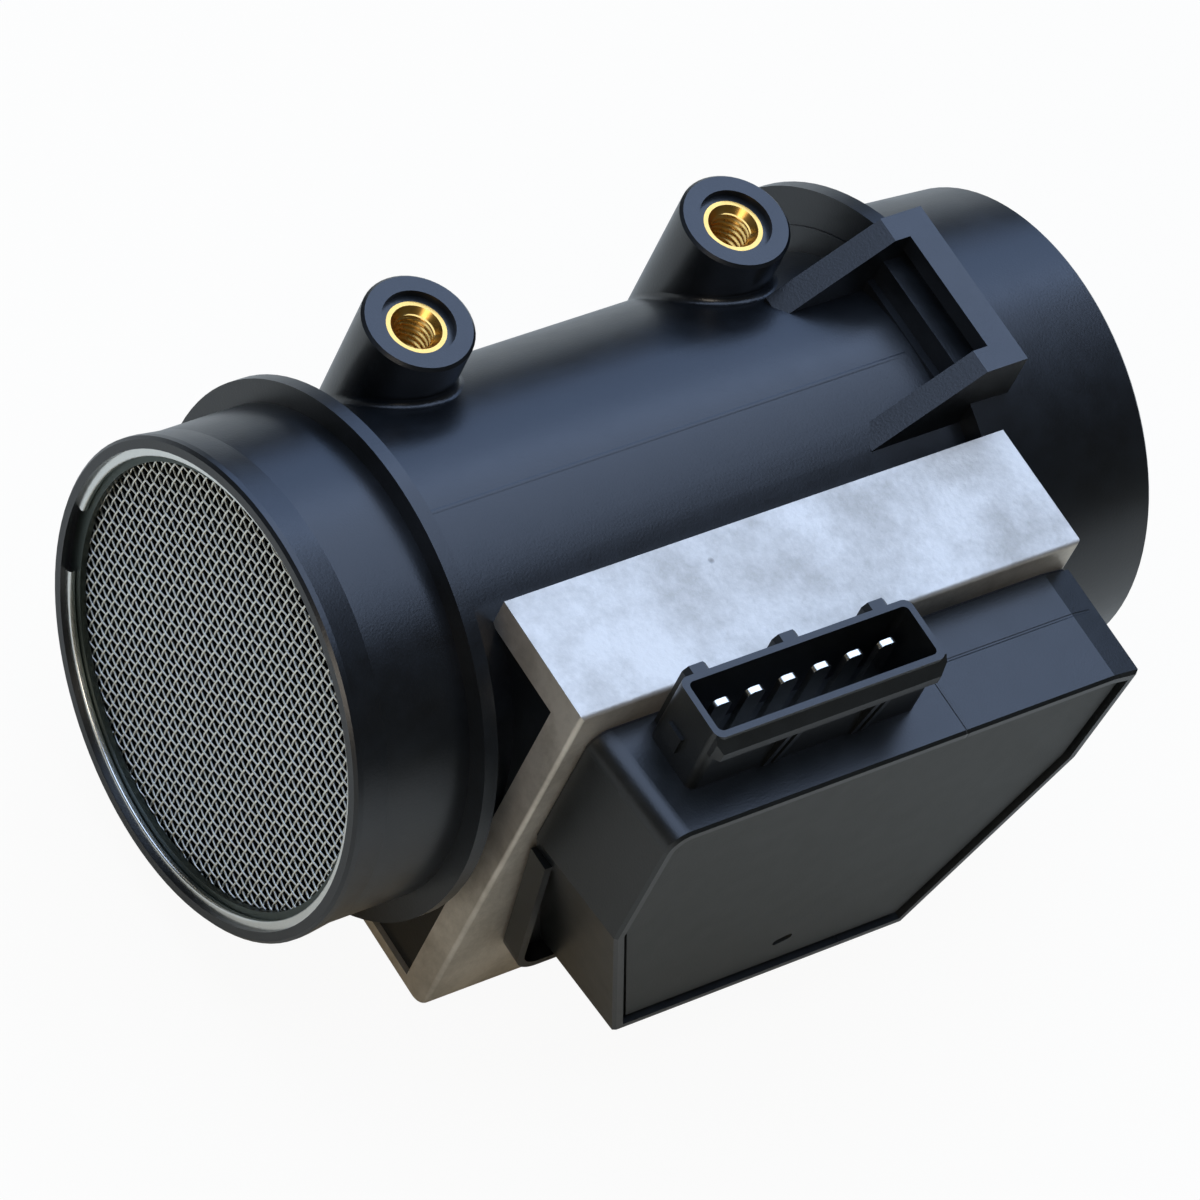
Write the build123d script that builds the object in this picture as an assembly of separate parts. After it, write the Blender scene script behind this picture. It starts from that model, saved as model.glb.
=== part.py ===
from build123d import *
import math
import os

os.makedirs("parts", exist_ok=True)

# Millimetres. X runs along the air tube from inlet to outlet, Z is up.
# The origin is the centre of the inlet face. The electronics hang on the -Y side.

# Air tube
tube_length = 127.4
inlet_r = 32.8
inlet_neck_drop = 0.5
body_r = 29.8
outlet_root_r = 33.4
outlet_r = 31.7
body_wall = 2.4
lip_edge = 0.4
bead_length = 1.2
neck_step = 4.0
outlet_root_x = 100.8

# Flanges that stop the two hoses
front_stop_x = 17.5
front_stop_t = 2.0
front_stop_rise = 2.6
rear_stop_x = 101.0
rear_stop_t = 2.2
rear_stop_r = 38.6

# Mouths, where each guard screen sits on a shoulder under a snap ring
mouth_wall = 1.6
ring_inset = 0.6
ring_t = 1.0
ring_width = 1.2
ring_edge = 0.3
ring_groove_depth = 0.5
ring_gap_angle = 20.0
ring_gap_middle = -13.0
frame_t = 2.4
frame_width = 2.1
funnel_length = 22.0

# Woven guard screens, drawn as crossing ridges around square gaps
screen_t = 0.6
screen_gap_rows = 11
screen_bar = 1.4
screen_ridge_t = 0.3
screen_seat = 1.4

# Threaded bosses
boss_x = (35.3, 85.2)
boss_inset = 0.05
boss_rise = 3.2
boss_r = 7.5
boss_edge = 0.4
boss_root = 0.8
boss_pocket_r = 4.9
boss_pocket_depth = 1.1
insert_r = 4.0
insert_length = 9.5
insert_hole_r = 2.5
insert_chamfer = 0.9
insert_collar_t = 1.6
insert_groove_depth = 0.5

# Bridge over the root of the outlet spigot, with a sloping rib at each end
bridge_x0 = 103.0
bridge_x1 = 107.2
bridge_rise = 4.6
bridge_bar_t = 2.8
bridge_end_y = (-12.2, 13.4)
bridge_opening_y = (-8.7, 9.7)
bridge_root = 5.4
step_x = 100.5
step_rise = 0.2
step_ridge_x = 99.4
step_ridge_rise = 0.2
rib_foot_x = 86.4
rib_foot_drop = 2.4
rib_crest_x = 100.6
rib_root = 5.8

# Cast heat sink and the saddle it sits on
sink_x0 = 25.2
sink_x1 = 104.2
sink_top_drop = 0.5
sink_bottom_reach = 7.1
sink_inner_y = -16.3
sink_stand_off = 5.0
sink_wall = 4.6
sink_flange_t = 4.8
sink_foot_t = 2.0
sink_corner = 2.5
sink_edge = 0.6
saddle_inset = 0.8
saddle_foot_y = -19.0
saddle_root_y = -6.0

# Screws that hold the heat sink to the saddle
screw_x = (45.0, 88.0)
screw_z = (19.0, -20.0)
screw_r = 1.75
screw_head_r = 3.2
screw_head_t = 1.9
screw_length = 11.0
screw_socket_r = 1.3
screw_socket_depth = 1.0

# Plug through the tube wall, with the arm and the measuring duct
plug_x = 63.0
plug_z = 1.0
plug_r = 7.5
plug_inner_reach = 9.8
plug_outer_reach = 2.0
plug_flange_r = 9.5
plug_flange_t = 1.2
arm_end_y = -10.0
arm_width = 7.0
seal_set_back = 2.2
seal_t = 1.8
seal_depth = 1.2
duct_r = 13.0
duct_wall = 1.5
duct_length = 27.0
duct_lead = 0.6
duct_pad_y = -15.2
prong_r = 0.45
prong_reach = 3.5
prong_flat = 1.4
wire_x = (58.0, 66.0)
wire_t = 0.2
compensator_x = 53.5
compensator_size = (2.4, 5.0, 0.8)
compensator_lead_r = 0.3
compensator_lead_gap = 2.6
reference_x = 71.5
reference_r = 1.3
reference_length = 5.0
reference_lead_r = 0.35

# Electronics case
case_depth = 17.2
case_left = 29.7
case_right = 104.2
case_top = 24.6
case_bottom = -24.8
case_flare = 1.4
case_corner = 3.0
shoulder_length = 4.2
shoulder_drop = 0.7
left_knee_z = 2.2
right_knee_z = 5.7
right_lean = 1.9
left_knee_x = 40.1
right_knee_x = 86.8
case_edge = 0.4
rim_inset = 1.3
groove_width = 0.8
ledge_inset = 3.2
cover_recess = 0.7
cover_t = 1.6
sealant_recess = 0.5
gasket_t = 0.5
gasket_inset = 0.4
gasket_band = 1.6
notch_x = 64.8
notch_z = -17.8
notch_length = 3.0
notch_width = 1.3
notch_depth = 0.5
lug_top = (28.3, 0.0)
lug_toe = (33.6, -26.8)
lug_root_x = 46.0
lug_corner = 4.5
lug_rim = 1.1
lug_t = 3.4
lug_pocket_depth = 2.6
far_lug_top = (103.6, 3.0)
far_lug_toe = (97.4, -26.8)
far_lug_root_x = 85.0

# Connector shroud and its blades
mouth_x0 = 36.5
mouth_x1 = 70.6
mouth_set_off = 3.2
mouth_depth = 7.6
mouth_top = 35.9
mouth_corner = 0.8
shroud_wall = 0.9
shroud_corner = 1.3
lip_height = 3.6
lip_overhang = 1.2
lip_slope = 2.2
socket_floor = 23.4
shroud_end = 1.2
key_x = (37.3, 51.2, 65.2)
key_width = 3.6
key_rise = 1.2
key_height = 3.4
latch_x = (47.0, 60.8)
latch_gap = 1.6
latch_rib = 0.8
latch_root = 0.2
tab_size = 2.9
tab_rise = 0.6
tab_z = 27.2
tab_set_off = 2.8
blade_count = 6
blade_pitch = 5.15
blade_first_x = 40.8
blade_set_off = 2.9
blade_width = 2.8
blade_t = 0.8
blade_top = 34.0
blade_bottom = 18.0
blade_tip = 0.9

# Circuit board on the heat sink, inside the case
board_x0 = 38.5
board_x1 = 91.0
board_z0 = 16.5
board_bottom = -15.0
board_t = 1.0
board_chamfer = 8.0
chip_size = (13.0, 2.4, 9.0)
chip_place = (80.0, -8.0)
transistor_size = (9.0, 3.0, 9.0)
transistor_place = (47.0, -6.0)
capacitor_size = (2.4, 1.5, 1.6)
capacitor_count = 5
capacitor_pitch = 4.0
capacitor_place = (73.0, 8.0)
lead_width = 1.6
lead_t = 0.3
lead_foot_z = 13.5


def across_tube(x):
    return Plane(origin=(x, 0, 0), x_dir=(0, 1, 0), z_dir=(1, 0, 0))


def side_wall(y):
    return Plane(origin=(0, y, 0), x_dir=(1, 0, 0), z_dir=(0, -1, 0))


def disc(x, radius, thickness):
    return extrude(across_tube(x) * Circle(radius), thickness)


def ring(x, outer, inner, thickness):
    return disc(x, outer, thickness) - disc(x, inner, thickness)


def block(x0, x1, y0, y1, z0, z1):
    centre = ((x0 + x1) / 2, (y0 + y1) / 2, (z0 + z1) / 2)
    return Pos(*centre) * Box(abs(x1 - x0), abs(y1 - y0), abs(z1 - z0))


def upright(x, y, z0, z1, radius):
    return extrude(Plane.XY.offset(z0) * Pos(x, y) * Circle(radius), z1 - z0)


def sideways(x, z, y_start, y_end, radius):
    return extrude(side_wall(y_start) * Pos(x, z) * Circle(radius), y_start - y_end)


def slab_from(face, y_start, y_end):
    return extrude(side_wall(y_start) * face, y_start - y_end)


def polygon(*points):
    return make_face(Polyline(*points, close=True))


def group(solids):
    return Compound(children=list(solids))


def save(name, shape):
    export_step(shape, f"parts/{name}.step")


inlet_neck_r = inlet_r - inlet_neck_drop
front_stop_r = inlet_r + front_stop_rise
bore_r = body_r - body_wall
boss_y = body_r - boss_r - boss_inset
boss_top = body_r + boss_rise
bridge_top = outlet_root_r + bridge_rise
bridge_underside = bridge_top - bridge_bar_t
bridge_foot = outlet_root_r - bridge_root
step_top = outlet_root_r + step_rise
step_ridge_top = body_r + step_ridge_rise
rib_foot_z = body_r - rib_foot_drop
rib_base_z = body_r - rib_root
sink_top = body_r - sink_top_drop
sink_bottom = -body_r - sink_bottom_reach
sink_outer_y = -body_r - sink_stand_off
plug_inner_y = sink_outer_y + plug_inner_reach
plug_outer_y = sink_outer_y - plug_outer_reach
seal_y = sink_outer_y + seal_set_back
arm_length = arm_end_y - plug_inner_y
case_face_y = sink_outer_y - case_depth
mouth_y0 = sink_outer_y - mouth_set_off
mouth_y1 = mouth_y0 - mouth_depth
tab_y = mouth_y0 - tab_set_off
blade_y = mouth_y0 - blade_set_off
mouth_r = inlet_r - mouth_wall
outlet_mouth_r = outlet_r - mouth_wall
frame_x = ring_inset + ring_t
shoulder_x = frame_x + frame_t
outlet_shoulder_x = tube_length - shoulder_x
front_stop_back = front_stop_x + front_stop_t
sink_inner_face = sink_outer_y + sink_wall
saddle_top = sink_top - sink_flange_t
saddle_bottom = sink_bottom + sink_foot_t
case_back_y = sink_outer_y - gasket_t
cover_face_y = case_face_y + cover_recess
cover_back_y = cover_face_y + cover_t
board_face_y = sink_outer_y - board_t
shroud_x0 = mouth_x0 - shroud_wall
shroud_x1 = mouth_x1 + shroud_wall
shroud_y0 = mouth_y0 + shroud_wall
shroud_y1 = mouth_y1 - shroud_wall
lip_y = shroud_y1 - lip_overhang
lip_bottom = mouth_top - lip_height


def tube_outside():
    profile = polygon(
        (0, 0),
        (0, inlet_r - lip_edge),
        (lip_edge, inlet_r),
        (bead_length, inlet_r),
        (bead_length + neck_step, inlet_neck_r),
        (front_stop_x, inlet_neck_r),
        (front_stop_x, front_stop_r),
        (front_stop_back, front_stop_r),
        (front_stop_back, body_r),
        (outlet_root_x, body_r),
        (outlet_root_x, outlet_root_r),
        (tube_length - lip_edge, outlet_r),
        (tube_length, outlet_r - lip_edge),
        (tube_length, 0),
    )
    return revolve(profile, Axis.X)


def air_passage():
    profile = polygon(
        (0, 0),
        (0, mouth_r),
        (shoulder_x, mouth_r),
        (shoulder_x, mouth_r - frame_width),
        (shoulder_x + funnel_length, bore_r),
        (outlet_shoulder_x - funnel_length, bore_r),
        (outlet_shoulder_x, outlet_mouth_r - frame_width),
        (outlet_shoulder_x, outlet_mouth_r),
        (tube_length, outlet_mouth_r),
        (tube_length, 0),
    )
    return revolve(profile, Axis.X)


def boss_hole(x):
    seat = boss_top - boss_pocket_depth
    pocket = upright(x, boss_y, seat, boss_top, boss_pocket_r)
    return pocket + upright(x, boss_y, seat - insert_length, seat, insert_r)


def boss_root_edges(shell):
    roots = []
    for edge in shell.edges():
        middle = edge.center()
        near = [x for x in boss_x if math.hypot(middle.X - x, middle.Y - boss_y) < boss_r + 0.5]
        if near and 0 < middle.Z < body_r:
            roots.append(edge)
    return roots


def rear_stop():
    fin = disc(rear_stop_x, rear_stop_r, rear_stop_t)
    far = rear_stop_r + 1
    fin -= block(rear_stop_x, sink_x1, -far, bridge_end_y[1], 0, far)
    return fin - block(rear_stop_x, sink_x1, -far, 0, -far, 0)


def bridge():
    low, high = bridge_end_y
    gap_low, gap_high = bridge_opening_y
    bar = block(bridge_x0, bridge_x1, low, high, bridge_foot, bridge_top)
    bar -= block(bridge_x0, bridge_x1, gap_low, gap_high, bridge_foot, bridge_underside)
    bar += block(step_x, bridge_x1, gap_low, gap_high, bridge_foot, step_top)
    bar += block(step_ridge_x, step_x, gap_low, gap_high, rib_base_z, step_ridge_top)
    rib_face = polygon(
        (rib_foot_x, rib_foot_z),
        (rib_crest_x, bridge_top),
        (bridge_x0, bridge_top),
        (bridge_x0, rib_base_z),
        (rib_foot_x, rib_base_z),
    )
    return bar + slab_from(rib_face, high, gap_high) + slab_from(rib_face, gap_low, low)


def saddle():
    section = polygon(
        (sink_inner_face, saddle_top),
        (sink_inner_y, saddle_top),
        (0, body_r - 1),
        (0, -body_r + 1),
        (saddle_root_y, 1 - body_r),
        (saddle_foot_y, saddle_bottom),
        (sink_inner_face, saddle_bottom),
    )
    length = sink_x1 - sink_x0 - 2 * saddle_inset
    return extrude(across_tube(sink_x0 + saddle_inset) * section, length)


def housing():
    shell = tube_outside() + saddle()
    posts = [upright(x, boss_y, 0, boss_top, boss_r) for x in boss_x]
    for post in posts:
        shell += chamfer(post.edges().group_by(Axis.Z)[-1], boss_edge)
    shell = fillet(boss_root_edges(shell), boss_root)
    shell += rear_stop()
    shell += bridge()
    shell -= extrude(across_tube(sink_x0) * sink_section(), sink_x1 - sink_x0)
    shell -= air_passage()
    shell -= disc(ring_inset, mouth_r + ring_groove_depth, ring_t)
    shell -= disc(tube_length - frame_x, outlet_mouth_r + ring_groove_depth, ring_t)
    for x in boss_x:
        shell -= boss_hole(x)
    shell -= sideways(plug_x, plug_z, 0, sink_inner_face, plug_r)
    for x in screw_x:
        for z in screw_z:
            shell -= sideways(x, z, sink_outer_y + screw_length, sink_inner_face, screw_r)
    return shell


def thread_insert(x):
    top = boss_top - boss_pocket_depth
    body = upright(x, boss_y, top - insert_length, top, insert_r)
    hole = upright(x, boss_y, top - insert_length, top, insert_hole_r)
    groove = upright(x, boss_y, top - insert_length / 2 - insert_collar_t / 2,
                     top - insert_length / 2 + insert_collar_t / 2, insert_r)
    core = upright(x, boss_y, top - insert_length, top, insert_r - insert_groove_depth)
    body = body - (groove - core) - hole
    rim = body.edges().filter_by(GeomType.CIRCLE).group_by(Axis.Z)[-1].sort_by(SortBy.RADIUS)[0]
    return chamfer(rim, insert_chamfer)


def snap_ring(x, mouth):
    outer = mouth + ring_groove_depth
    hoop = ring(x, outer, outer - ring_groove_depth - ring_width, ring_t)
    inner = hoop.edges().filter_by(GeomType.CIRCLE).sort_by(SortBy.RADIUS)[:2]
    hoop = fillet(inner, ring_edge)
    edges = []
    for side in (-1, 1):
        turn = math.radians(ring_gap_middle + side * ring_gap_angle / 2)
        edges.append((2 * outer * math.cos(turn), 2 * outer * math.sin(turn)))
    wedge = polygon((0, 0), *edges)
    return hoop - extrude(across_tube(x) * wedge, ring_t)


def screen_frame(x, mouth):
    hoop = ring(x, mouth, mouth - frame_width, frame_t)
    return hoop - disc(x + frame_t / 2 - screen_t / 2, mouth - frame_width + screen_seat, screen_t)


def guard_screen(x, mouth):
    start = x + frame_t / 2 - screen_t / 2
    clear_r = mouth - frame_width
    pitch = 2 * clear_r / screen_gap_rows
    gap = pitch - screen_bar
    middle = (screen_gap_rows - 1) / 2
    steps = [(i - middle) * pitch for i in range(screen_gap_rows)]
    spots = [(y, z) for y in steps for z in steps]
    open_spots = [s for s in spots if math.hypot(abs(s[0]) + gap / 2, abs(s[1]) + gap / 2) < clear_r - 0.4]
    sheet = disc(start, clear_r + screen_seat, screen_t)
    holes = [Pos(y, z) * Rectangle(gap, gap) for y, z in open_spots]
    sheet -= extrude(across_tube(start) * Sketch(children=holes), screen_t)
    for i in range(screen_gap_rows - 1):
        offset = (i + 0.5 - middle) * pitch
        half = math.sqrt(clear_r ** 2 - (abs(offset) + screen_bar / 4) ** 2) - 0.2
        low = offset - screen_bar / 4
        high = offset + screen_bar / 4
        sheet += block(start - screen_ridge_t, start, low, high, -half, half)
        sheet += block(start + screen_t, start + screen_t + screen_ridge_t, -half, half, low, high)
    return sheet


def sink_section():
    section = polygon(
        (sink_inner_y, sink_top),
        (sink_outer_y, sink_top),
        (sink_outer_y, sink_bottom),
        (sink_inner_y, sink_bottom),
        (sink_inner_y, saddle_bottom),
        (sink_inner_face, saddle_bottom),
        (sink_inner_face, saddle_top),
        (sink_inner_y, saddle_top),
    )
    foot_corner = section.vertices().sort_by(Axis.Y)[:3].sort_by(Axis.X)[0]
    return fillet(foot_corner, sink_corner)


def heat_sink():
    casting = extrude(across_tube(sink_x0) * sink_section(), sink_x1 - sink_x0)
    casting = fillet(casting.edges().group_by(Axis.Y)[0], sink_edge)
    casting -= sideways(plug_x, plug_z, sink_inner_face, sink_outer_y, plug_r)
    for x in screw_x:
        for z in screw_z:
            casting -= sideways(x, z, sink_inner_face, sink_outer_y, screw_r)
            casting -= sideways(x, z, sink_outer_y + screw_head_t, sink_outer_y, screw_head_r)
    return casting


def cap_screw(x, z):
    shank = sideways(x, z, sink_outer_y + screw_length, sink_outer_y, screw_r)
    head = sideways(x, z, sink_outer_y + screw_head_t, sink_outer_y, screw_head_r)
    socket = side_wall(sink_outer_y + screw_socket_depth) * Pos(x, z) * RegularPolygon(screw_socket_r, 6)
    return shank + head - extrude(socket, screw_socket_depth)


def seal_groove():
    outer = sideways(plug_x, plug_z, seal_y + seal_t / 2, seal_y - seal_t / 2, plug_r)
    return outer - sideways(plug_x, plug_z, seal_y + seal_t / 2, seal_y - seal_t / 2, plug_r - seal_depth)


def sensor_plug():
    stem = sideways(plug_x, plug_z, plug_inner_y, board_face_y, plug_r)
    stem += sideways(plug_x, plug_z, board_face_y, plug_outer_y, plug_flange_r)
    arm = Pos(plug_x, plug_z) * SlotOverall(arm_length, arm_width)
    stem += slab_from(arm, duct_pad_y, plug_inner_y)
    return stem - seal_groove()


def measuring_duct():
    start = plug_x - duct_length / 2
    outside = disc(start, duct_r, duct_length)
    outside = chamfer(outside.edges(), duct_lead)
    pad = Pos(plug_x, plug_z) * RectangleRounded(arm_length + 2, arm_width + 2, 2)
    shell = outside + slab_from(pad, 0, duct_pad_y)
    shell -= disc(start, duct_r - duct_wall, duct_length)
    for pin in prong_pins():
        shell -= pin
    for lead in compensator_leads() + reference_leads():
        shell -= lead
    return shell


def prong_pins():
    inside = duct_r - duct_wall
    pins = []
    for x in wire_x:
        pins.append(sideways(x, 0, prong_reach - inside, -inside - duct_wall / 2, prong_r))
        pins.append(sideways(x, 0, inside + duct_wall / 2, inside - prong_reach, prong_r))
    return pins


def wire_prongs():
    tip_y = duct_r - duct_wall - prong_reach
    flat = block(wire_x[0] - 2, wire_x[1] + 2, -tip_y - prong_flat, tip_y + prong_flat, 0, prong_r)
    return group([pin - flat for pin in prong_pins()])


def hot_wire():
    tip = duct_r - duct_wall - prong_reach + prong_flat * 0.6
    path = Polyline((wire_x[0], -tip), (wire_x[0], tip), (wire_x[1], -tip), (wire_x[1], tip))
    return extrude(trace(path, wire_t), wire_t)


def compensator_leads():
    inside = duct_r - duct_wall
    half = compensator_size[1] / 2
    places = [compensator_x - compensator_lead_gap / 2 + 0.6, compensator_x + compensator_lead_gap / 2 - 0.6]
    return [sideways(x, 0, -half, -inside - duct_wall / 2, compensator_lead_r) for x in places]


def compensation_resistor():
    length, height, thickness = compensator_size
    chip = Pos(compensator_x, 0, 0) * Box(length, height, thickness)
    chip = chamfer(chip.edges().filter_by(Axis.Y), 0.15)
    for lead in compensator_leads():
        chip += lead
    return chip


def reference_leads():
    inside = duct_r - duct_wall
    half = reference_length / 2
    lower = sideways(reference_x, 0, -half, -inside - duct_wall / 2, reference_lead_r)
    upper = sideways(reference_x, 0, inside + duct_wall / 2, half, reference_lead_r)
    return [lower, upper]


def precision_resistor():
    body = sideways(reference_x, 0, reference_length / 2, -reference_length / 2, reference_r)
    body = fillet(body.edges().filter_by(GeomType.CIRCLE), 0.35)
    for lead in reference_leads():
        body += lead
    return body


def case_outline(inset, flare=0):
    knee = (case_left - flare + inset, left_knee_z + inset * 0.2)
    face = polygon(
        (case_left - flare + inset, case_top - inset),
        (case_right - shoulder_length - inset * 0.1, case_top - inset),
        (case_right - inset, case_top - shoulder_drop - inset),
        (case_right - right_lean - inset, right_knee_z + inset * 0.25),
        (right_knee_x - inset * 0.6, case_bottom + inset),
        (left_knee_x - flare + inset * 0.75, case_bottom + inset),
        knee,
    )
    corner = face.vertices().group_by(Axis.X)[0].sort_by(Axis.Y)[-1]
    return fillet(corner, case_corner - inset / 2)


def case_lug(top, toe, root_x):
    outline = polygon(top, toe, (root_x, toe[1]), (root_x, top[1]))
    corner = outline.vertices().group_by(Axis.Y)[0].sort_by(Axis.X)[0 if root_x > toe[0] else -1]
    outline = fillet(corner, lug_corner)
    face_y = case_back_y - lug_t
    pocket = slab_from(offset(outline, -lug_rim), face_y + lug_pocket_depth, face_y)
    return slab_from(outline, case_back_y, face_y) - pocket


def shroud():
    body = block(shroud_x0, shroud_x1, shroud_y0, shroud_y1, socket_floor, mouth_top)
    body = fillet(body.edges().filter_by(Axis.Z), shroud_corner)
    lip_side = polygon(
        (shroud_y1 + shroud_wall / 2, lip_bottom),
        (lip_y, lip_bottom),
        (lip_y, mouth_top - lip_slope),
        (shroud_y1 + shroud_wall / 2, mouth_top),
    )
    lip = extrude(across_tube(shroud_x0) * lip_side, shroud_x1 - shroud_x0)
    body += chamfer(lip.edges().group_by(Axis.Y)[0].filter_by(Axis.Z), lip_overhang * 0.8)
    for x in key_x:
        key = block(x, x + key_width, shroud_y0, shroud_y0 + key_rise, case_top, mouth_top)
        body += chamfer(key.edges().group_by(Axis.Z)[-1].filter_by(Axis.Y), key_rise * 0.6)
    ramp = polygon(
        (shroud_y1, lip_bottom),
        (lip_y, lip_bottom),
        (shroud_y1 - latch_root, case_top),
        (shroud_y1, case_top),
    )
    for x in latch_x:
        for offset_x in (0, latch_gap):
            body += extrude(across_tube(x + offset_x) * ramp, latch_rib)
    return body + block(shroud_x0 - tab_rise, shroud_x0, tab_y - tab_size / 2, tab_y + tab_size / 2,
                        tab_z, tab_z + tab_size)


def electronics_case():
    back = side_wall(case_back_y) * case_outline(0, case_flare)
    rim = side_wall(case_face_y + case_edge) * case_outline(0)
    face = side_wall(case_face_y) * case_outline(case_edge)
    walls = loft([back, rim, face], ruled=True)
    near_lug = case_lug(lug_top, lug_toe, lug_root_x)
    far_lug = case_lug(far_lug_top, far_lug_toe, far_lug_root_x)
    walls = walls + near_lug + far_lug + shroud()
    walls -= slab_from(case_outline(ledge_inset), case_back_y, cover_back_y)
    walls -= slab_from(case_outline(rim_inset), cover_back_y, case_face_y)
    socket = block(mouth_x0, mouth_x1, mouth_y0, mouth_y1, socket_floor, mouth_top)
    walls -= fillet(socket.edges().filter_by(Axis.Z), mouth_corner)
    for i in range(blade_count):
        walls -= blade(i)
    return walls


def case_gasket():
    outer = slab_from(case_outline(gasket_inset, case_flare), sink_outer_y, case_back_y)
    return outer - slab_from(case_outline(gasket_inset + gasket_band, case_flare), sink_outer_y, case_back_y)


def cover_plate():
    plate = slab_from(case_outline(rim_inset + groove_width), cover_back_y, cover_face_y)
    mark = side_wall(cover_face_y + notch_depth) * Pos(notch_x, notch_z) * Rot(0, 0, 12) * SlotOverall(
        notch_length, notch_width)
    return plate - extrude(mark, notch_depth)


def cover_sealant():
    top = cover_face_y + sealant_recess
    outer = slab_from(case_outline(rim_inset), cover_back_y, top)
    return outer - slab_from(case_outline(rim_inset + groove_width), cover_back_y, top)


def blade(index):
    x = blade_first_x + blade_pitch * index
    tab = block(x - blade_width / 2, x + blade_width / 2, blade_y - blade_t / 2, blade_y + blade_t / 2,
                blade_bottom, blade_top)
    return fillet(tab.edges().group_by(Axis.Z)[-1].filter_by(Axis.Y), blade_tip)


def lead_strip(index):
    x = blade_first_x + blade_pitch * index
    half = lead_t / 2
    path = polygon(
        (blade_y - half, blade_bottom),
        (blade_y + half, blade_bottom),
        (blade_y + half, lead_foot_z + lead_t),
        (board_face_y, lead_foot_z + lead_t),
        (board_face_y, lead_foot_z),
        (blade_y - half, lead_foot_z),
    )
    return extrude(across_tube(x - lead_width / 2) * path, lead_width)


def on_board(place, size):
    x, z = place
    width, depth, height = size
    return block(x - width / 2, x + width / 2, board_face_y, board_face_y - depth, z - height / 2, z + height / 2)


def circuit_board():
    face = polygon((board_x0, board_z0), (board_x1, board_z0), (board_x1, board_bottom), (board_x0, board_bottom))
    lower = face.vertices().group_by(Axis.Y)[0]
    face = chamfer(lower, board_chamfer)
    board = slab_from(face, sink_outer_y, board_face_y)
    return board - sideways(plug_x, plug_z, sink_outer_y, board_face_y, plug_r)


def main():
    save("housing", housing())
    save("front_thread_insert", thread_insert(boss_x[0]))
    save("rear_thread_insert", thread_insert(boss_x[1]))
    outlet_ring_x = tube_length - frame_x
    outlet_frame_x = tube_length - shoulder_x
    save("inlet_snap_ring", snap_ring(ring_inset, mouth_r))
    save("outlet_snap_ring", snap_ring(outlet_ring_x, outlet_mouth_r))
    save("inlet_screen_frame", screen_frame(frame_x, mouth_r))
    save("outlet_screen_frame", screen_frame(outlet_frame_x, outlet_mouth_r))
    save("inlet_screen", guard_screen(frame_x, mouth_r))
    save("outlet_screen", guard_screen(outlet_frame_x, outlet_mouth_r))
    save("heat_sink", heat_sink())
    save("heat_sink_screws", group([cap_screw(x, z) for x in screw_x for z in screw_z]))
    save("sensor_plug", sensor_plug())
    save("plug_seal_ring", seal_groove())
    save("measuring_duct", measuring_duct())
    save("wire_prongs", wire_prongs())
    save("hot_wire", hot_wire())
    save("compensation_resistor", compensation_resistor())
    save("precision_resistor", precision_resistor())
    save("electronics_case", electronics_case())
    save("case_gasket", case_gasket())
    save("cover_plate", cover_plate())
    save("cover_sealant", cover_sealant())
    save("circuit_board", circuit_board())
    save("power_transistor", on_board(transistor_place, transistor_size))
    save("control_chip", on_board(chip_place, chip_size))
    row = [(capacitor_place[0] + i * capacitor_pitch, capacitor_place[1]) for i in range(capacitor_count)]
    save("chip_capacitors", group([on_board(place, capacitor_size) for place in row]))
    for i in range(blade_count):
        save(f"terminal_{i + 1}", blade(i))
    save("lead_strips", group([lead_strip(i) for i in range(blade_count)]))


main()
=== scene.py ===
# %% [markdown]
# # A mass airflow sensor
# This sensor sits between an engine's air filter and its throttle. Air runs through a black moulded tube
# with a woven guard screen at each end, and a heated wire in the middle loses more heat the more air
# passes. The circuit that reads the wire is in a flat case on a cast aluminium heat sink.
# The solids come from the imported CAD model, already at their true size in metres. Here they get their
# finishes, and the pieces too fine for the CAD model, such as the weave and the threads, are added.

# %% Load the frame
import math

import bpy
from mathutils import Matrix, Vector


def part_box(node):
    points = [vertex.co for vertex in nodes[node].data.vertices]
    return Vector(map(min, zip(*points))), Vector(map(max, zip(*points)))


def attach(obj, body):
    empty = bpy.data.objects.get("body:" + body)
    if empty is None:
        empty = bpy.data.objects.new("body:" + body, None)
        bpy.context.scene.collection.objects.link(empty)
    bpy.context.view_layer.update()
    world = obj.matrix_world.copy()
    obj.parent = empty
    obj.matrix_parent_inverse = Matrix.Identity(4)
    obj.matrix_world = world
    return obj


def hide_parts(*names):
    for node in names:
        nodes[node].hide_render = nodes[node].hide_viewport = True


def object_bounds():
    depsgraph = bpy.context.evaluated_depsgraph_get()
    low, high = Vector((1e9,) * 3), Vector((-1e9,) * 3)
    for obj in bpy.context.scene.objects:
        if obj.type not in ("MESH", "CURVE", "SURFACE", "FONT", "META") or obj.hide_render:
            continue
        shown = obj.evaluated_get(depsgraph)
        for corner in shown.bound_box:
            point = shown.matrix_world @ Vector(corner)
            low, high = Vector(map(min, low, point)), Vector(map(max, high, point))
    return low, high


MM = 0.001
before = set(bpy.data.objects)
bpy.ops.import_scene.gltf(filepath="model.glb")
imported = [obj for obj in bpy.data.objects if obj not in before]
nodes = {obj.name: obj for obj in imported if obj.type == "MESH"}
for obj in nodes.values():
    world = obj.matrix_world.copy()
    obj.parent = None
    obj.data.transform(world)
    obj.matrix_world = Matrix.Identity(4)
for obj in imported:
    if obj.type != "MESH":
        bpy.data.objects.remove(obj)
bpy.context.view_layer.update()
print("solids loaded:", len(nodes))

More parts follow.
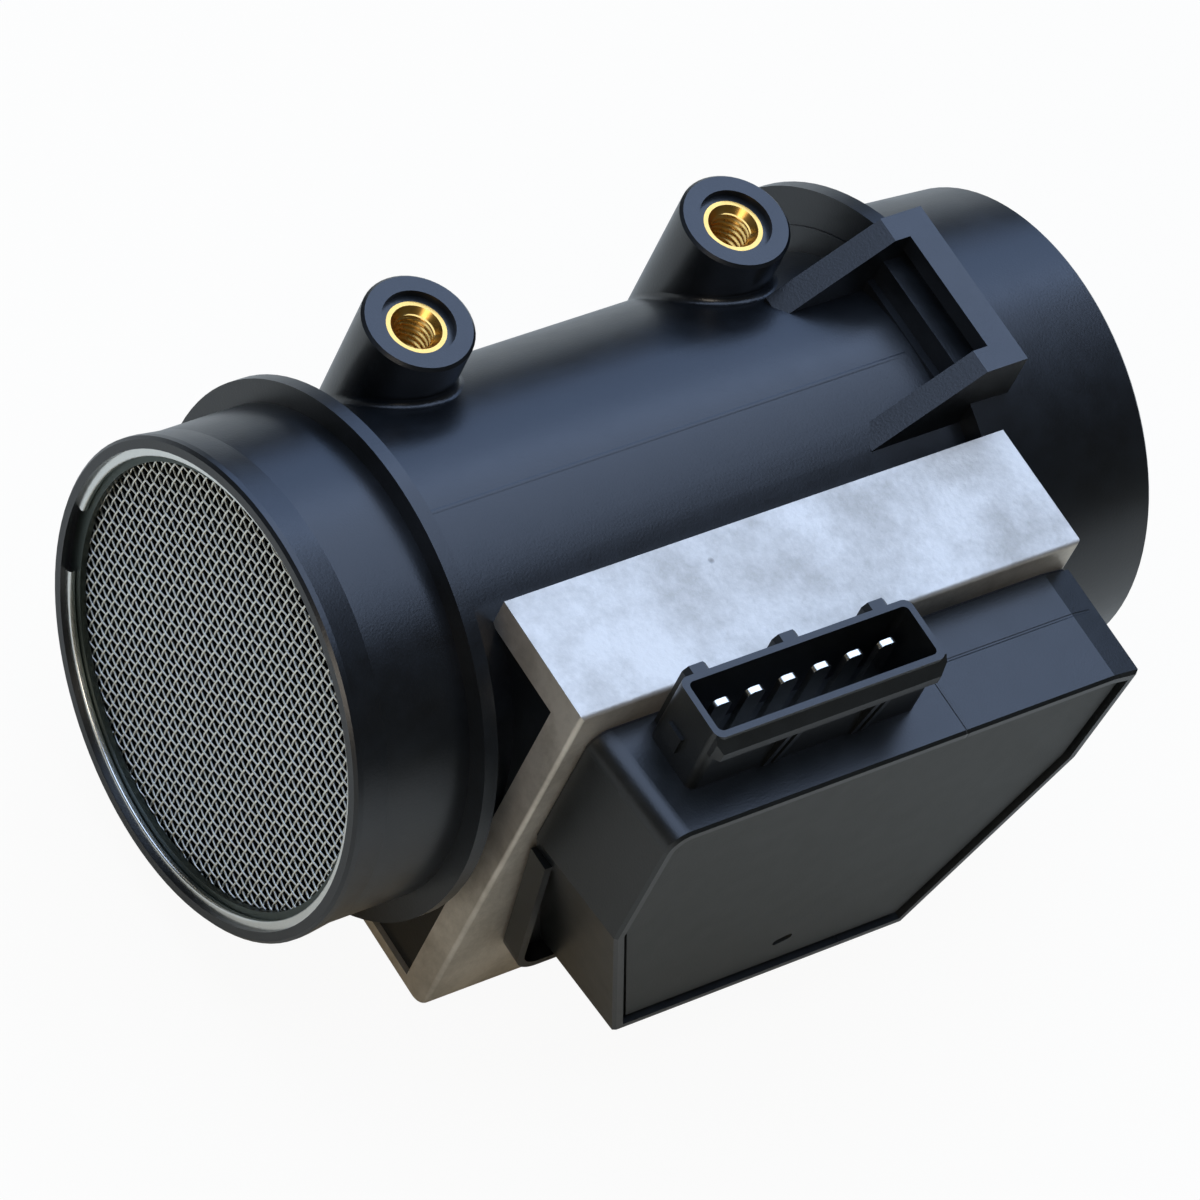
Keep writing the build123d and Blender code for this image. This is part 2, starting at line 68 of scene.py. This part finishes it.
# %% [markdown]
# ## Camera
# The view is set first, because every finish is judged from it. A long lens far away keeps the tube's
# two ends nearly the same size. The three directions below are the camera's right, down and forward,
# so the camera's own axes are right, up and backwards. The Standard view shows each colour as it was
# picked, without a film curve that would turn the white floor grey.

# %% Camera
camera_place = Vector((-0.5048, -0.3919, 0.7931))
camera_right = Vector((0.79632, -0.51731, 0.31347))
camera_down = Vector((-0.27655, -0.77228, -0.57193))
camera_forward = Vector((0.53795, 0.36875, -0.75805))
camera_data = bpy.data.cameras.new("camera")
camera_data.sensor_width = 36.0
camera_data.lens = 246.64
camera_data.clip_start = 0.05
camera_data.clip_end = 20.0
camera = bpy.data.objects.new("camera", camera_data)
camera_axes = Matrix((camera_right, -camera_down, -camera_forward)).transposed().to_4x4()
camera.matrix_world = Matrix.Translation(camera_place) @ camera_axes
bpy.context.scene.collection.objects.link(camera)
bpy.context.scene.camera = camera
bpy.context.scene.view_settings.view_transform = "Standard"
print("camera distance m:", round(camera_place.length, 3))

# %% [markdown]
# ## Colours and nodes
# Colours are written as hex values, the way a colour picker shows them, and Blender wants them linear.
# The second helper adds one node, fills its settings and links its inputs, so a material reads as a
# short list of what feeds what.

# %% Colour and node helpers
def colour(code):
    channels = [int(code[i:i + 2], 16) / 255 for i in (1, 3, 5)]
    linear = [c / 12.92 if c <= 0.04045 else ((c + 0.055) / 1.055) ** 2.4 for c in channels]
    return (*linear, 1.0)


def add(material, kind, inputs=None, **settings):
    node = material.node_tree.nodes.new(kind)
    for name, value in settings.items():
        setattr(node, name, value)
    for key, value in (inputs or {}).items():
        if isinstance(value, bpy.types.NodeSocket):
            material.node_tree.links.new(value, node.inputs[key])
        else:
            node.inputs[key].default_value = value
    return node


def new_material(name):
    material = bpy.data.materials.new(name)
    material.use_nodes = True
    material.node_tree.nodes.clear()
    return material


def finish_material(material, shader):
    output = add(material, "ShaderNodeOutputMaterial", {"Surface": shader})
    material.node_tree.nodes.active = output
    return material


def dress(material, *names):
    for name in names:
        piece = nodes[name]
        piece.data.materials.clear()
        piece.data.materials.append(material)


white = (1.0, 1.0, 1.0, 1.0)
print("pure white as linear:", colour("#ffffff"))

# %% [markdown]
# ## Floor
# The part lies on a warm white board, as a studio backdrop. What the camera sees of it is made almost
# pure white by a glow that only camera rays meet. The plastic still mirrors the plain board, so the
# glow doesn't light the part from below.

# %% Floor
floor_size = 8.0
seen_as_glow = 0.94
floor_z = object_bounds()[0][2]
bpy.ops.object.select_all(action="DESELECT")
bpy.ops.mesh.primitive_plane_add(size=floor_size, location=(0, 0, 0))
floor = bpy.context.object
floor.name = "floor"
bpy.ops.object.mode_set(mode="EDIT")
bpy.ops.transform.translate(value=(0, 0, floor_z))
bpy.ops.object.mode_set(mode="OBJECT")
floor_paint = new_material("warm white backdrop board")
path = add(floor_paint, "ShaderNodeLightPath")
board = add(floor_paint, "ShaderNodeBsdfDiffuse", {"Color": colour("#f2e6cc")})
glow = add(floor_paint, "ShaderNodeEmission", {"Color": white, "Strength": 1.0})
share = add(floor_paint, "ShaderNodeMath", {0: path.outputs["Is Camera Ray"], 1: seen_as_glow},
            operation="MULTIPLY")
surface = add(floor_paint, "ShaderNodeMixShader", {0: share.outputs[0], 1: board.outputs[0],
                                                   2: glow.outputs[0]})
finish_material(floor_paint, surface.outputs[0])
floor.data.materials.append(floor_paint)
print("floor height m:", round(floor_z, 4))

# %% [markdown]
# ## Light
# One large soft lamp above is like an overcast sky over a table, and a second one low behind is like a
# window. Satin black plastic shows little but what it mirrors, so the cool colour of these two is what
# makes the top of the tube look blue. A small warm lamp on the left lights the side of the heat sink.
# The room itself gives a dim, slightly yellow light, and the camera sees it as white.

# %% World and lamps
world = bpy.data.worlds.new("room")
bpy.context.scene.world = world
world.use_nodes = True
world.node_tree.nodes.clear()
world_path = add(world, "ShaderNodeLightPath")
room = add(world, "ShaderNodeBackground", {"Color": colour("#a8a490"), "Strength": 0.16})
backdrop = add(world, "ShaderNodeBackground", {"Color": white, "Strength": 1.0})
seen = add(world, "ShaderNodeMixShader", {0: world_path.outputs["Is Camera Ray"], 1: room.outputs[0],
                                          2: backdrop.outputs[0]})
add(world, "ShaderNodeOutputWorld", {"Surface": seen.outputs[0]})
tube_middle = Vector((0.06, 0, 0))


def soft_lamp(name, place, size, power, tint):
    data = bpy.data.lights.new(name, "AREA")
    data.shape = "RECTANGLE"
    data.size, data.size_y = size
    data.energy = power
    data.color = colour(tint)[:3]
    lamp = bpy.data.objects.new(name, data)
    lamp.location = place
    lamp.rotation_euler = (tube_middle - Vector(place)).to_track_quat("-Z", "Y").to_euler()
    bpy.context.scene.collection.objects.link(lamp)


soft_lamp("sky_lamp", (0.15, 0.25, 1.1), (1.7, 1.4), 22.0, "#bcd3fb")
soft_lamp("window_lamp", (0.95, 1.05, 0.85), (1.2, 0.9), 7.0, "#a9c9ff")
soft_lamp("side_lamp", (-0.9, -0.5, 0.5), (0.5, 0.5), 3.2, "#fff3e4")

# %% [markdown]
# ## Mould lines
# Where two parts of a mould meet they leave a hair-fine line on the plastic. The line is a bump along
# one plane of the part: it crosses one axis at a place, and it is kept between two values of X. On the
# tube it stands proud, and on the case it is a shallow groove.

# %% Mould lines
def mould_line(material, spot, relief, across, place, half_width, rise, from_x, to_x):
    axes = add(material, "ShaderNodeSeparateXYZ", {0: spot.outputs["Object"]})
    offset = add(material, "ShaderNodeMath", {0: axes.outputs[across], 1: place}, operation="SUBTRACT")
    far = add(material, "ShaderNodeMath", {0: offset.outputs[0]}, operation="ABSOLUTE")
    line = add(material, "ShaderNodeMapRange", {"Value": far.outputs[0], "From Min": half_width * 0.4,
                                                "From Max": half_width, "To Min": 1.0, "To Max": 0.0})
    begun = add(material, "ShaderNodeMath", {0: axes.outputs["X"], 1: from_x}, operation="GREATER_THAN")
    going = add(material, "ShaderNodeMath", {0: axes.outputs["X"], 1: to_x}, operation="LESS_THAN")
    inside = add(material, "ShaderNodeMath", {0: begun.outputs[0], 1: going.outputs[0]},
                 operation="MULTIPLY")
    shown = add(material, "ShaderNodeMath", {0: line.outputs["Result"], 1: inside.outputs[0]},
                operation="MULTIPLY")
    return add(material, "ShaderNodeBump", {"Height": shown.outputs[0], "Strength": 0.8,
                                            "Distance": rise, "Normal": relief.outputs["Normal"]})


tube_line = {"across": "Y", "place": -1.8 * MM, "half_width": 0.35 * MM, "rise": 0.06 * MM,
             "from_x": 20 * MM, "to_x": 98 * MM}
case_long_line = {"across": "Y", "place": -41.8 * MM, "half_width": 0.25 * MM, "rise": -0.08 * MM,
                  "from_x": 72 * MM, "to_x": 103 * MM}
case_short_line = {"across": "X", "place": 76.1 * MM, "half_width": 0.25 * MM, "rise": -0.08 * MM,
                   "from_x": 70 * MM, "to_x": 80 * MM}
print("mould line on the tube mm:", round((tube_line["to_x"] - tube_line["from_x"]) / MM))

# %% [markdown]
# ## Moulded plastic
# The tube and the case are glass-filled nylon and polyester, injection moulded. A spark-eroded mould
# gives them a very fine grain, and the glass fibres near the skin make the gloss slightly uneven. So
# the roughness and the colour are clouded at about 4 mm, and the grain is a bump. The real grain is
# about 0.05 mm and would not show, so it is drawn at 0.33 mm.

# %% Moulded plastic
cloud_size = 4.0 * MM
grain_size = 0.3333 * MM
grain_depth = 0.05 * MM


def moulded_plastic(name, base, worn, rough, grain, lines=()):
    material = new_material(name)
    spot = add(material, "ShaderNodeTexCoord")
    cloud = add(material, "ShaderNodeTexNoise", {"Vector": spot.outputs["Object"],
                                                 "Scale": 1 / cloud_size, "Detail": 5.0,
                                                 "Roughness": 0.6})
    tone = add(material, "ShaderNodeValToRGB", {"Fac": cloud.outputs["Fac"]})
    tone.color_ramp.elements[0].position = 0.35
    tone.color_ramp.elements[0].color = colour(base)
    tone.color_ramp.elements[1].position = 0.75
    tone.color_ramp.elements[1].color = colour(worn)
    gloss = add(material, "ShaderNodeMapRange", {"Value": cloud.outputs["Fac"], "To Min": rough - 0.05,
                                                 "To Max": rough + 0.07})
    pits = add(material, "ShaderNodeTexNoise", {"Vector": spot.outputs["Object"],
                                                "Scale": 1 / grain_size, "Detail": 2.0})
    relief = add(material, "ShaderNodeBump", {"Height": pits.outputs["Fac"], "Strength": grain,
                                              "Distance": grain_depth})
    for line in lines:
        relief = mould_line(material, spot, relief, **line)
    skin = add(material, "ShaderNodeBsdfPrincipled", {"Base Color": tone.outputs["Color"],
                                                      "Roughness": gloss.outputs["Result"],
                                                      "Normal": relief.outputs["Normal"], "IOR": 1.53})
    return finish_material(material, skin.outputs[0])


tube_plastic = moulded_plastic("satin black glass-filled nylon", "#0f1113", "#15181b", 0.3, 0.3,
                               [tube_line])
case_plastic = moulded_plastic("black glass-filled polyester", "#101212", "#171919", 0.34, 0.35,
                               [case_long_line, case_short_line])
cover_plastic = moulded_plastic("matt black cover plastic", "#12130c", "#1a1b14", 0.5, 0.5)
duct_plastic = moulded_plastic("black duct plastic", "#1c1c1c", "#262626", 0.45, 0.3)
chip_plastic = moulded_plastic("black chip epoxy", "#191919", "#222222", 0.6, 0.4)
dress(tube_plastic, "housing")
dress(case_plastic, "electronics_case")
dress(cover_plastic, "cover_plate")
dress(duct_plastic, "sensor_plug", "measuring_duct")
dress(chip_plastic, "power_transistor", "control_chip")
print("materials so far:", len(bpy.data.materials))

# %% [markdown]
# ## Cast aluminium
# The heat sink is pressure cast and left as it came out of the mould. Its skin is rough and oxidised, so
# it is less of a mirror than a machined metal, with pale blotches about a centimetre wide, fine grit and
# a few small pits where gas was trapped. The pits are dented by a shallow bump and painted dark, as
# painted shade for the shadow inside them.

# %% Cast aluminium
blotch_size = 11.1 * MM
pit_spacing = 9.1 * MM
grit_size = 0.91 * MM
grit_depth = 0.12 * MM
pit_depth = 0.1 * MM


def cast_aluminium(name):
    material = new_material(name)
    spot = add(material, "ShaderNodeTexCoord")
    blotch = add(material, "ShaderNodeTexNoise", {"Vector": spot.outputs["Object"],
                                                  "Scale": 1 / blotch_size, "Detail": 8.0,
                                                  "Roughness": 0.72})
    tone = add(material, "ShaderNodeValToRGB", {"Fac": blotch.outputs["Fac"]})
    tone.color_ramp.elements[0].position = 0.35
    tone.color_ramp.elements[0].color = colour("#b0a89b")
    tone.color_ramp.elements[1].position = 0.6
    tone.color_ramp.elements[1].color = colour("#d2cabd")
    holes = add(material, "ShaderNodeTexVoronoi", {"Vector": spot.outputs["Object"],
                                                   "Scale": 1 / pit_spacing, "Randomness": 1.0})
    pit = add(material, "ShaderNodeMapRange", {"Value": holes.outputs["Distance"], "From Min": 0.03,
                                               "From Max": 0.07})
    # painted shade: at the centre of each pit the colour turns dark brown-grey for the shadow inside the
    # hole; elsewhere it is the blotch tone
    tone_with_pit_shade = add(material, "ShaderNodeMixRGB", {"Fac": pit.outputs["Result"], "Color1": colour("#5c554c"),
                                              "Color2": tone.outputs["Color"]})
    grit = add(material, "ShaderNodeTexNoise", {"Vector": spot.outputs["Object"],
                                                "Scale": 1 / grit_size, "Detail": 5.0})
    relief = add(material, "ShaderNodeBump", {"Height": grit.outputs["Fac"], "Strength": 0.6,
                                              "Distance": grit_depth})
    dents = add(material, "ShaderNodeBump", {"Height": pit.outputs["Result"], "Strength": 0.7,
                                             "Distance": pit_depth, "Normal": relief.outputs["Normal"]})
    skin = add(material, "ShaderNodeBsdfPrincipled", {"Base Color": tone_with_pit_shade.outputs["Color"], "Metallic": 0.7,
                                                      "Roughness": 0.5, "Normal": dents.outputs["Normal"]})
    return finish_material(material, skin.outputs[0])


dress(cast_aluminium("as-cast aluminium"), "heat_sink")
print("cast finish on:", nodes["heat_sink"].name)

# %% [markdown]
# ## Drawn and machined metals
# A bare metal has no colour of its own under the shine: the colour is in the reflection. The brass is
# turned on a lathe, which leaves it bright, the snap rings are bright spring steel, and the guard wire
# is drawn and a little duller. The screen frames are dark from anodising, the screws are zinc plated,
# and the blades are tinned. All carry the faint marks of their making, drawn at about a millimetre or
# less, which is coarser than real ones, so that they break up the shine.

# %% Drawn and machined metals
mark_depth = 0.05 * MM


def plain_metal(name, tint, rough, mark_size):
    material = new_material(name)
    spot = add(material, "ShaderNodeTexCoord")
    marks = add(material, "ShaderNodeTexNoise", {"Vector": spot.outputs["Object"],
                                                 "Scale": 1 / mark_size, "Detail": 4.0})
    gloss = add(material, "ShaderNodeMapRange", {"Value": marks.outputs["Fac"], "To Min": rough - 0.06,
                                                 "To Max": rough + 0.08})
    relief = add(material, "ShaderNodeBump", {"Height": marks.outputs["Fac"], "Strength": 0.15,
                                              "Distance": mark_depth})
    skin = add(material, "ShaderNodeBsdfPrincipled", {"Base Color": colour(tint), "Metallic": 1.0,
                                                      "Roughness": gloss.outputs["Result"],
                                                      "Normal": relief.outputs["Normal"]})
    return finish_material(material, skin.outputs[0])


brass = plain_metal("machined brass", "#e2b463", 0.27, 1.11 * MM)
ring_steel = plain_metal("bright spring steel", "#dfe0dc", 0.22, 0.833 * MM)
wire_steel = plain_metal("drawn stainless wire", "#d9d8cf", 0.3, 0.5 * MM)
frame_metal = plain_metal("dark anodised aluminium", "#4b524e", 0.4, 0.833 * MM)
screw_steel = plain_metal("zinc plated steel", "#b5b8ba", 0.35, 0.833 * MM)
tin_plate = plain_metal("tin plated brass", "#d9d6cc", 0.22, 0.667 * MM)
platinum = plain_metal("drawn platinum", "#cfccc6", 0.2, 0.25 * MM)
blades = [name for name in nodes if name.startswith("terminal_")]
dress(brass, "front_thread_insert", "rear_thread_insert")
dress(ring_steel, "inlet_snap_ring", "outlet_snap_ring")
dress(wire_steel, "inlet_screen", "outlet_screen")
dress(frame_metal, "inlet_screen_frame", "outlet_screen_frame")
dress(screw_steel, "heat_sink_screws")
dress(tin_plate, "wire_prongs", "lead_strips", *blades)
dress(platinum, "hot_wire")
print("tinned blades:", len(blades))

# %% [markdown]
# ## Rubber, sealant and ceramic
# The gasket and the plug's ring are black rubber, the groove round the cover holds a bead of silicone,
# and the circuit is printed on a white ceramic board. All are dull and nearly even, so a faint clouding
# of the colour, one to three millimetres wide, is enough.

# %% Rubber, sealant and ceramic
def dull_solid(name, dark, light, rough, cloud_width, index):
    material = new_material(name)
    spot = add(material, "ShaderNodeTexCoord")
    cloud = add(material, "ShaderNodeTexNoise", {"Vector": spot.outputs["Object"],
                                                 "Scale": 1 / cloud_width, "Detail": 4.0})
    tone = add(material, "ShaderNodeValToRGB", {"Fac": cloud.outputs["Fac"]})
    tone.color_ramp.elements[0].position = 0.3
    tone.color_ramp.elements[0].color = colour(dark)
    tone.color_ramp.elements[1].position = 0.7
    tone.color_ramp.elements[1].color = colour(light)
    skin = add(material, "ShaderNodeBsdfPrincipled", {"Base Color": tone.outputs["Color"],
                                                      "Roughness": rough, "IOR": index})
    return finish_material(material, skin.outputs[0])


rubber = dull_solid("black nitrile rubber", "#101010", "#1a1a1a", 0.75, 2.5 * MM, 1.52)
silicone = dull_solid("black silicone bead", "#0c0d0d", "#151616", 0.45, 3.33 * MM, 1.41)
alumina = dull_solid("white alumina ceramic", "#d9d7cf", "#e8e6df", 0.5, 2.0 * MM, 1.77)
capacitor_body = dull_solid("tan capacitor ceramic", "#8a6a48", "#9c7b56", 0.5, 1.25 * MM, 1.7)
dress(rubber, "case_gasket", "plug_seal_ring")
dress(silicone, "cover_sealant")
dress(alumina, "circuit_board", "compensation_resistor", "precision_resistor")
dress(capacitor_body, "chip_capacitors")
print("materials:", len(bpy.data.materials))

# %% [markdown]
# ## Working on one mesh at a time
# Blender's operators act on whatever is selected, so each helper here first selects just what it needs:
# all of one piece in edit mode, or a few pieces to be joined into one. A twin has a mesh of its own, so
# that changing it leaves the first one alone.

# %% Editing helpers
def edit(piece):
    bpy.ops.object.select_all(action="DESELECT")
    bpy.context.view_layer.objects.active = piece
    piece.select_set(True)
    bpy.ops.object.mode_set(mode="EDIT")
    bpy.ops.mesh.select_all(action="SELECT")


def join(pieces, name):
    bpy.ops.object.select_all(action="DESELECT")
    for piece in pieces:
        piece.select_set(True)
    bpy.context.view_layer.objects.active = pieces[0]
    bpy.ops.object.join()
    pieces[0].name = name
    return pieces[0]


def twin(piece):
    copy = piece.copy()
    copy.data = piece.data.copy()
    bpy.context.scene.collection.objects.link(copy)
    return copy


# %% [markdown]
# ## One wavy wire
# The CAD model draws each guard screen as coarse ridges, and here each becomes real woven wire. One wire
# is made by pushing a small six-sided face along a wave, one step at a time. The wave is lower than in
# real cloth, so wires that cross run a little into each other there, which can't be seen from outside.

# %% One wavy wire
wire_radius = 0.16 * MM
wire_pitch = 1.3 * MM
wave_height = 0.1 * MM
steps_per_pitch = 3


def wavy_wire(half_length):
    steps = round(half_length / wire_pitch * steps_per_pitch)
    step = wire_pitch / steps_per_pitch
    heights = [wave_height * math.sin(math.pi * i / steps_per_pitch) for i in range(-steps, steps + 1)]
    bpy.ops.mesh.primitive_circle_add(vertices=6, radius=wire_radius, fill_type="NGON",
                                      rotation=(math.pi / 2, 0, 0), location=(0, 0, 0))
    wire = bpy.context.object
    bpy.ops.object.transform_apply(location=False, rotation=True, scale=False)
    edit(wire)
    bpy.ops.transform.translate(value=(heights[0], -steps * step, 0))
    for before, after in zip(heights, heights[1:]):
        bpy.ops.mesh.extrude_region_move(TRANSFORM_OT_translate={"value": (after - before, step, 0)})
    bpy.ops.mesh.select_all(action="SELECT")
    bpy.ops.mesh.normals_make_consistent(inside=False)
    bpy.ops.object.mode_set(mode="OBJECT")
    return wire


print("wire diameter mm:", round(2 * wire_radius / MM, 2), "pitch mm:", round(wire_pitch / MM, 2))

# %% [markdown]
# ## The weave
# Copies of the wire are turned over for every second row and cut to the length of their chord, which
# makes one layer. The same layer turned a quarter crosses the first, with every wire going over where
# the other goes under. The whole screen is turned a few degrees, as it was dropped into its mouth.

# %% Woven guard screens
rim_gap = 0.1 * MM
screen_turn = math.radians(4)
smooth_wire = math.radians(70)


def woven_layer(radius, rows, name):
    long_wire = wavy_wire(radius + wire_pitch)
    wires = []
    for row in range(rows):
        z = (row + 0.5 - rows / 2) * wire_pitch
        wire = twin(long_wire)
        edit(wire)
        if row % 2:
            bpy.ops.transform.resize(value=(-1, 1, 1), center_override=(0, 0, 0))
            bpy.ops.mesh.normals_make_consistent(inside=False)
        half = math.sqrt(radius ** 2 - z ** 2)
        for side in (-1, 1):
            bpy.ops.mesh.select_all(action="SELECT")
            bpy.ops.mesh.bisect(plane_co=(0, side * half, 0), plane_no=(0, side, 0), use_fill=True,
                                clear_outer=True)
        bpy.ops.mesh.select_all(action="SELECT")
        bpy.ops.transform.translate(value=(0, 0, z))
        bpy.ops.object.mode_set(mode="OBJECT")
        wires.append(wire)
    bpy.data.objects.remove(long_wire)
    return join(wires, name)


def woven_screen(node_name, name, rows):
    low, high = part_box(node_name)
    layer = woven_layer((high[1] - low[1]) / 2 - rim_gap, rows, name)
    cross = twin(layer)
    edit(cross)
    bpy.ops.transform.rotate(value=-math.pi / 2, orient_axis="X", center_override=(0, 0, 0))
    bpy.ops.object.mode_set(mode="OBJECT")
    screen = join([layer, cross], name)
    edit(screen)
    bpy.ops.transform.rotate(value=-screen_turn, orient_axis="X", center_override=(0, 0, 0))
    bpy.ops.transform.translate(value=((low[0] + high[0]) / 2, 0, 0))
    bpy.ops.object.mode_set(mode="OBJECT")
    bpy.ops.object.shade_smooth_by_angle(angle=smooth_wire)
    screen.data.materials.clear()
    screen.data.materials.append(wire_steel)
    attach(screen, "root")
    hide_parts(node_name)
    print(name, "faces:", len(screen.data.polygons))


woven_screen("inlet_screen", "inlet_screen_weave", 46)
woven_screen("outlet_screen", "outlet_screen_weave", 44)

# %% [markdown]
# ## Threads in the brass inserts
# Cut straight across, a screw thread is nearly a circle set a little off the axis. So one circle pushed
# up along the axis while its centre goes round the axis leaves a helical thread behind it. The same loop
# is then led out over the countersink, down the outside with its knurl groove, and joined to its start.

# %% Sizes of the thread and the insert
thread_pitch = 1.0 * MM
thread_steps = 16
thread_offset = 0.25 * MM
thread_radius = 2.72 * MM
thread_run_out = 0.05 * MM
countersink_radius = 3.4 * MM
countersink_depth = 0.9 * MM
outside_radius = 4.0 * MM
groove_radius = 3.5 * MM
groove_height = 1.6 * MM
circle_points = 40
smooth_brass = math.radians(30)
print("thread depth mm:", round(2 * thread_offset / MM, 2))

# %% Threaded brass inserts
def grow(shift, factor=1.0):
    bpy.ops.mesh.extrude_region_move(TRANSFORM_OT_translate={"value": shift})
    if factor != 1.0:
        bpy.ops.transform.resize(value=(factor, factor, 1), center_override=(0, 0, 0))


def grow_thread(height):
    centre = Vector((thread_offset, 0, 0))
    bpy.ops.transform.translate(value=centre)
    turns = int((height - countersink_depth) / thread_pitch * thread_steps)
    for i in range(1, turns + 1):
        turn = 2 * math.pi * i / thread_steps
        after = Vector((thread_offset * math.cos(turn), thread_offset * math.sin(turn), 0))
        shift = after - centre
        grow((shift.x, shift.y, thread_pitch / thread_steps))
        centre = after
    grow((-centre.x, -centre.y, thread_run_out))
    return turns * thread_pitch / thread_steps + thread_run_out


def grow_outside(height):
    side = (height - groove_height) / 2
    grow((0, 0, 0), outside_radius / countersink_radius)
    grow((0, 0, -side))
    grow((0, 0, 0), groove_radius / outside_radius)
    grow((0, 0, -groove_height))
    grow((0, 0, 0), outside_radius / groove_radius)
    grow((0, 0, -side))


def threaded_insert(node_name, name):
    low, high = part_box(node_name)
    height = high[2] - low[2]
    bpy.ops.mesh.primitive_circle_add(vertices=circle_points, radius=thread_radius, location=(0, 0, 0))
    insert = bpy.context.object
    insert.name = name
    edit(insert)
    top = grow_thread(height)
    grow((0, 0, height - top), countersink_radius / thread_radius)
    grow_outside(height)
    bpy.ops.mesh.select_all(action="DESELECT")
    bpy.ops.mesh.select_mode(type="EDGE")
    bpy.ops.mesh.select_non_manifold()
    bpy.ops.mesh.bridge_edge_loops()
    bpy.ops.mesh.select_mode(type="VERT")
    bpy.ops.mesh.select_all(action="SELECT")
    bpy.ops.mesh.normals_make_consistent(inside=False)
    bpy.ops.transform.translate(value=((low[0] + high[0]) / 2, (low[1] + high[1]) / 2, low[2]))
    bpy.ops.object.mode_set(mode="OBJECT")
    bpy.ops.object.shade_smooth_by_angle(angle=smooth_brass)
    insert.data.materials.append(brass)
    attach(insert, "root")
    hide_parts(node_name)
    print(name, "faces:", len(insert.data.polygons))


threaded_insert("front_thread_insert", "front_insert_with_thread")
threaded_insert("rear_thread_insert", "rear_insert_with_thread")

# %% [markdown]
# ## End
# The last cell prints a closing line.

# %% End
print("done")
